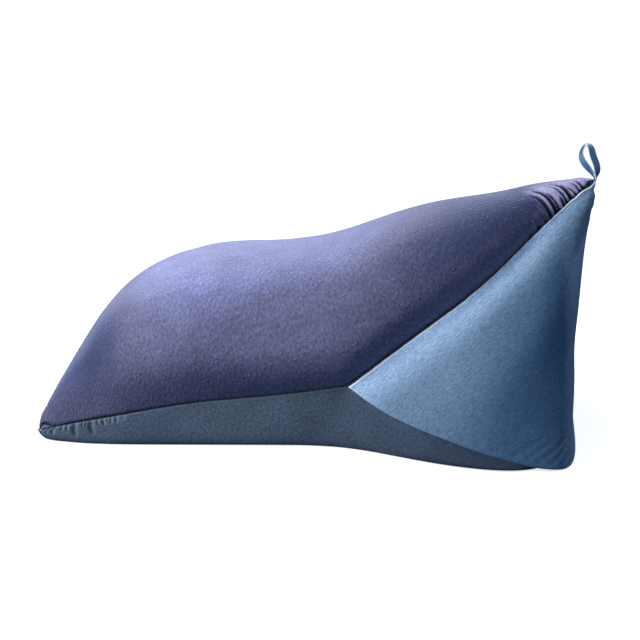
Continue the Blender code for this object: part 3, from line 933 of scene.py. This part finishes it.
# A cloth's grain: the size of its threads or lumps, how far they are turned on the cloth, their noise, the
# stretch of that noise that counts, and how much it darkens and lightens the cloth.
Grain = namedtuple("Grain", "size_u size_v turn_deg detail roughness low high darkest palest")
KNIT_WALES = Grain(0.0030, 0.0085, -12, 3, 0.6, 0.30, 0.70, 0.66, 1.34)
KNIT_MOTTLE = Grain(0.0062, 0.0105, -12, 2, 0.5, 0.34, 0.66, 0.80, 1.20)
KNIT_RIDGE_MOTTLE = KNIT_MOTTLE._replace(darkest=0.84, palest=1.16)
KNIT_PATCHES = Grain(0.06, 0.06, 0, 3, 0.5, 0.35, 0.65, 0.90, 1.10)
BEAD_PATCHES = Grain(0.045, 0.045, 0, 2, 0.5, 0.36, 0.60, 0.2, 1.0)
DENIM_TWILL = Grain(0.0034, 0.0150, 73, 3, 0.6, 0.30, 0.70, 0.72, 1.32)
DENIM_STREAKS = Grain(0.0070, 0.0400, 73, 2, 0.5, 0.35, 0.65, 0.94, 1.07)
DENIM_SPECKS = Grain(0.0032, 0.0045, 60, 2, 0.6, 0.30, 0.62, 0.74, 1.18)
SLATE_THREADS = Grain(0.0048, 0.0068, 20, 3, 0.6, 0.32, 0.68, 0.62, 1.40)
SLATE_PATCHES = Grain(0.07, 0.07, 0, 3, 0.5, 0.35, 0.65, 0.90, 1.10)
STRAP_THREADS = Grain(0.0012, 0.0030, 30, 3, 0.5, 0.35, 0.70, 0.65, 1.45)

# The small round bumps of the filling in the knit.
BEAD_SPACING = 0.016
BEAD_RADIUS = 0.0042
# The middle of each bump gets a painted highlight this strong.
BEAD_HIGHLIGHT = 0.09

PALE_SHADING = 1.25
# How much the painted light beside the upper seam brightens the denim.
DENIM_PAINTED_LIGHT_GAIN = 1.55
CLOTH_SPECULAR = 0.25


class Shader:
    """The nodes of a material or a sky, which are added one after another."""

    def __init__(self, owner):
        owner.use_nodes = True
        self.owner = owner
        self.tree = owner.node_tree

    def add(self, kind, output=0, settings=None, **inputs):
        """Adds a node and gives one of its outputs. An input goes by name, or by number as n0 and n1."""
        node = self.tree.nodes.new(kind)
        for key, value in (settings or {}).items():
            setattr(node, key, value)
        for key, value in inputs.items():
            self.put(node.inputs[int(key[1:]) if key[1:].isdigit() else key], value)
        return node.outputs[output]

    def put(self, socket, value):
        if isinstance(value, bpy.types.NodeSocket):
            self.tree.links.new(value, socket)
        else:
            socket.default_value = value

    def fill(self, node, values):
        for name, value in values.items():
            self.put(self.tree.nodes[node].inputs[name], value)
        return self.owner

    def mark(self, name):
        return self.add("ShaderNodeAttribute", 2, {"attribute_name": name})

    def times(self, first, second):
        return self.add("ShaderNodeMath", 0, {"operation": "MULTIPLY"}, n0=first, n1=second)

    def scaled(self, colour, factor):
        return self.add("ShaderNodeVectorMath", 0, {"operation": "SCALE"}, n0=colour, n3=factor)

    def ramp(self, value, low, high, first=0.0, last=1.0):
        """The value's way from low to high, turned into the way from first to last."""
        return self.add("ShaderNodeMapRange", n0=value, n1=low, n2=high, n3=first, n4=last)

    def mix(self, share, first, second):
        settings = {"data_type": "RGBA"}
        return self.add("ShaderNodeMix", 2, settings, n0=share, n6=first, n7=second)

    def bump(self, height, distance, normal=None):
        below = {} if normal is None else {"Normal": normal}
        return self.add("ShaderNodeBump", Height=height, Distance=distance, **below)

    def cloth(self, size_u, size_v, turn_deg=0.0):
        """Places on the flat cloth, turned, then counted in threads or lumps of these sizes."""
        flat = self.add("ShaderNodeUVMap", 0, {"uv_map": "cloth"})
        turned = self.add("ShaderNodeMapping", Vector=flat, Rotation=(0, 0, np.radians(turn_deg)))
        return self.add("ShaderNodeMapping", Vector=turned, Scale=(1 / size_u, 1 / size_v, 1))

    def noise(self, grain):
        place = self.cloth(grain.size_u, grain.size_v, grain.turn_deg)
        noise = {"Detail": grain.detail, "Roughness": grain.roughness}
        return self.add("ShaderNodeTexNoise", Vector=place, Scale=1.0, **noise)

    def shade(self, noise, grain):
        return self.ramp(noise, grain.low, grain.high, grain.darkest, grain.palest)

    def patches(self, grain):
        return self.shade(self.noise(grain), grain)

    def beads(self, spacing, radius):
        """Small round bumps, one in each cell of this size, 1 at their middle."""
        flat, soft = {"voronoi_dimensions": "2D"}, {"interpolation_type": "SMOOTHSTEP"}
        distance = self.add("ShaderNodeTexVoronoi", 0, flat, Vector=self.cloth(spacing, spacing), Scale=1.0)
        return self.add("ShaderNodeMapRange", 0, soft, n0=distance, n1=radius / spacing, n2=0.0)

    def with_painted_shading(self, deep, middle, pale):
        """The colour of the cloth by its painted light and shade, the mark called painted_shading."""
        painted_shading = self.mark("painted_shading")
        colour = self.mix(self.ramp(painted_shading, 0.0, 0.5), deep, middle)
        return self.mix(self.ramp(painted_shading, 0.5, PALE_SHADING), colour, pale)

    # Used for the painted highlights, painted shade and edge lines of the cloths.
    def overlaid(self, colour, mark, strength, over_colour):
        """The colour with another over it where a mark is, at most this strongly."""
        return self.mix(self.times(self.mark(mark), strength), colour, over_colour)

    def finish(self, colour, normal, roughness, sheen, tint, sheen_roughness=0.4):
        values = {"Base Color": colour, "Normal": normal, "Specular IOR Level": CLOTH_SPECULAR}
        values.update({"Roughness": roughness, "Sheen Weight": sheen})
        values.update({"Sheen Roughness": sheen_roughness, "Sheen Tint": tint})
        return self.fill("Principled BSDF", values)


def knit():
    s = Shader(bpy.data.materials.new("violet_knit"))
    wales, mottle = s.noise(KNIT_WALES), s.noise(KNIT_MOTTLE)
    grain = s.times(s.shade(wales, KNIT_WALES), s.shade(mottle, KNIT_MOTTLE))
    colour = s.with_painted_shading((0.028, 0.038, 0.104, 1), (0.082, 0.087, 0.160, 1), (0.146, 0.158, 0.325, 1))
    colour = s.scaled(colour, s.times(s.patches(KNIT_PATCHES), grain))
    # Painted highlights on the ridges between the gathers, painted shade in their valleys and the tuck, and a
    # line of painted shade along the seams.
    painted_highlight = s.scaled((0.400, 0.385, 0.590), s.shade(mottle, KNIT_RIDGE_MOTTLE))
    colour = s.overlaid(colour, "painted_highlight", 0.85, painted_highlight)
    colour = s.overlaid(colour, "painted_crease_shade", 0.95, (0.001, 0.002, 0.016, 1))
    colour = s.overlaid(colour, "edge", 0.96, (0.001, 0.001, 0.006, 1))
    # The middle of each bead gets a painted highlight.
    beads = s.times(s.beads(BEAD_SPACING, BEAD_RADIUS), s.patches(BEAD_PATCHES))
    colour = s.mix(s.times(beads, BEAD_HIGHLIGHT), colour, (0.230, 0.240, 0.420, 1))
    normal = s.bump(wales, 0.0010)
    normal = s.bump(mottle, 0.0016, normal)
    normal = s.bump(beads, 0.0012, normal)
    return s.finish(colour, normal, 0.75, sheen=0.55, tint=(0.70, 0.75, 1.0, 1), sheen_roughness=0.35)


def denim():
    s = Shader(bpy.data.materials.new("light_blue_weave"))
    twill, specks = s.noise(DENIM_TWILL), s.noise(DENIM_SPECKS)
    grain = s.times(s.shade(twill, DENIM_TWILL), s.patches(DENIM_STREAKS))
    colour = s.with_painted_shading((0.026, 0.074, 0.148, 1), (0.088, 0.152, 0.242, 1), (0.265, 0.405, 0.585, 1))
    colour = s.scaled(colour, s.times(grain, s.shade(specks, DENIM_SPECKS)))
    # Painted light beside the upper seam against the top panel's shadow, and the white edge as a painted
    # highlight.
    colour = s.scaled(colour, s.ramp(s.mark("painted_highlight"), 0.0, 1.0, 1.0, DENIM_PAINTED_LIGHT_GAIN))
    colour = s.overlaid(colour, "edge", 0.97, (0.88, 0.96, 1.0, 1))
    normal = s.bump(twill, 0.0006)
    normal = s.bump(specks, 0.0005, normal)
    return s.finish(colour, normal, roughness=0.8, sheen=0.25, tint=(0.75, 0.88, 1.0, 1))


def slate():
    s = Shader(bpy.data.materials.new("slate_weave"))
    threads = s.noise(SLATE_THREADS)
    grain = s.times(s.patches(SLATE_PATCHES), s.shade(threads, SLATE_THREADS))
    colour = s.with_painted_shading((0.012, 0.025, 0.048, 1), (0.032, 0.051, 0.084, 1), (0.062, 0.090, 0.130, 1))
    colour = s.scaled(colour, grain)
    # Painted highlights on the ridges beside the gathers and on the corner knob, and painted shade in the
    # gathers.
    colour = s.overlaid(colour, "painted_highlight", 0.75, (0.290, 0.375, 0.435, 1))
    colour = s.overlaid(colour, "painted_crease_shade", 0.80, (0.010, 0.020, 0.034, 1))
    colour = s.overlaid(colour, "edge", 0.30, (0.14, 0.20, 0.27, 1))
    normal = s.bump(threads, 0.0006)
    return s.finish(colour, normal, roughness=0.85, sheen=0.15, tint=(0.75, 0.85, 1.0, 1))


def webbing():
    s = Shader(bpy.data.materials.new("strap_weave"))
    threads = s.noise(STRAP_THREADS)
    # The strap is painted pale at the top of its loop and dark on its shaded inner face.
    colour = s.with_painted_shading((0.020, 0.040, 0.080, 1), (0.090, 0.175, 0.300, 1), (0.500, 0.720, 0.880, 1))
    colour = s.scaled(colour, s.shade(threads, STRAP_THREADS))
    colour = s.overlaid(colour, "edge", 0.80, (0.55, 0.70, 0.85, 1))
    normal = s.bump(threads, 0.0004)
    return s.finish(colour, normal, roughness=0.8, sheen=0.3, tint=(0.8, 0.9, 1.0, 1))


def finish_piece(piece, node, material):
    piece.data.materials.append(material)
    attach(piece, "root")
    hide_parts(node)


# The floor reaches this far each way, and lies a little under the bag.
FLOOR_REACH = 30.0
FLOOR_HEIGHT = -0.0005

# The lights, all of them turned to one place.
Light = namedtuple("Light", "name place size power colour")
LIGHTS = (
    Light("key", (-1.30, -1.55, 1.35), 1.4, 55, (1.0, 0.98, 0.97)),
    Light("over", (-0.9, 1.0, 1.8), 1.4, 45, (0.93, 0.95, 1.0)),
)
LIT_PLACE = (0, 0, 0.3)

# The sky is brightest this way, and falls off over this range of cosines. The camera sees plain white.
SKY_WAY = (-0.45, -0.25, 0.85)
SKY_RANGE = Ramp(-0.4, 1.0)
SKY_LOW = (0.030, 0.100, 0.230, 1)
SKY_HIGH = (0.66, 0.67, 0.74, 1)
WHITE = (1, 1, 1, 1)


def turned_to(place, target):
    return (Vector(target) - Vector(place)).to_track_quat("-Z", "Y").to_euler()


def add_floor():
    far = FLOOR_REACH
    mesh = bpy.data.meshes.new("floor")
    mesh.from_pydata([(-far, -far, 0), (far, -far, 0), (far, far, 0), (-far, far, 0)], [], [(0, 1, 2, 3)])
    floor = add_object("floor", mesh)
    floor.location.z = FLOOR_HEIGHT
    s = Shader(bpy.data.materials.new("pale_floor"))
    values = {"Base Color": (0.9, 0.9, 0.9, 1), "Roughness": 1.0}
    values.update({"Emission Color": WHITE, "Emission Strength": 0.75})
    mesh.materials.append(s.fill("Principled BSDF", values))
    floor.visible_diffuse = False
    floor.visible_glossy = False


def add_area_light(light):
    data = bpy.data.lights.new(light.name, "AREA")
    data.shape = "DISK"
    data.size = light.size
    data.energy = light.power
    data.color = light.colour
    lamp = add_object(light.name, data)
    lamp.location = light.place
    lamp.rotation_euler = turned_to(light.place, LIT_PLACE)


def add_sky():
    """A sky that is brightest on one side, and white behind the bag."""
    world = bpy.data.worlds.new("studio")
    bpy.context.scene.world = world
    s = Shader(world)
    place = s.add("ShaderNodeTexCoord")
    lift = s.add("ShaderNodeVectorMath", 1, {"operation": "DOT_PRODUCT"}, n0=place, n1=SKY_WAY)
    sky = s.mix(s.ramp(lift, SKY_RANGE.start, SKY_RANGE.full), SKY_LOW, SKY_HIGH)
    camera_ray = s.add("ShaderNodeLightPath")
    s.fill("Background", {"Color": s.mix(camera_ray, sky, WHITE), "Strength": 1.0})


def add_camera():
    """The camera that fits the photo, whose middle is 2 of its 640 pixels off the camera's."""
    data = bpy.data.cameras.new("camera")
    data.lens = 70.06
    data.sensor_width = 36.0
    data.shift_x = 2 / 640
    camera = add_object("camera", data)
    camera.location = (0.51075, -2.89661, 0.74533)
    camera.rotation_euler = turned_to(camera.location, (0, 0, 0.2267))
    bpy.context.scene.camera = camera


def main():
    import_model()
    add_camera()
    for light in LIGHTS:
        add_area_light(light)
    add_sky()
    add_floor()

    top = add_panel("seat_and_backrest", top_surface(), True, faces_up=True)
    finish_piece(top, "top_panel", knit())
    base = add_panel("base", base_surface(), False)
    finish_piece(base, "base_panel", slate())
    back = add_panel("wrap_round_back", back_surface(), True)
    finish_piece(back, "back_panel", denim())
    strap, length = add_loop()
    finish_piece(strap, "loop", webbing())

    bpy.context.scene.view_settings.view_transform = "Standard"


main()
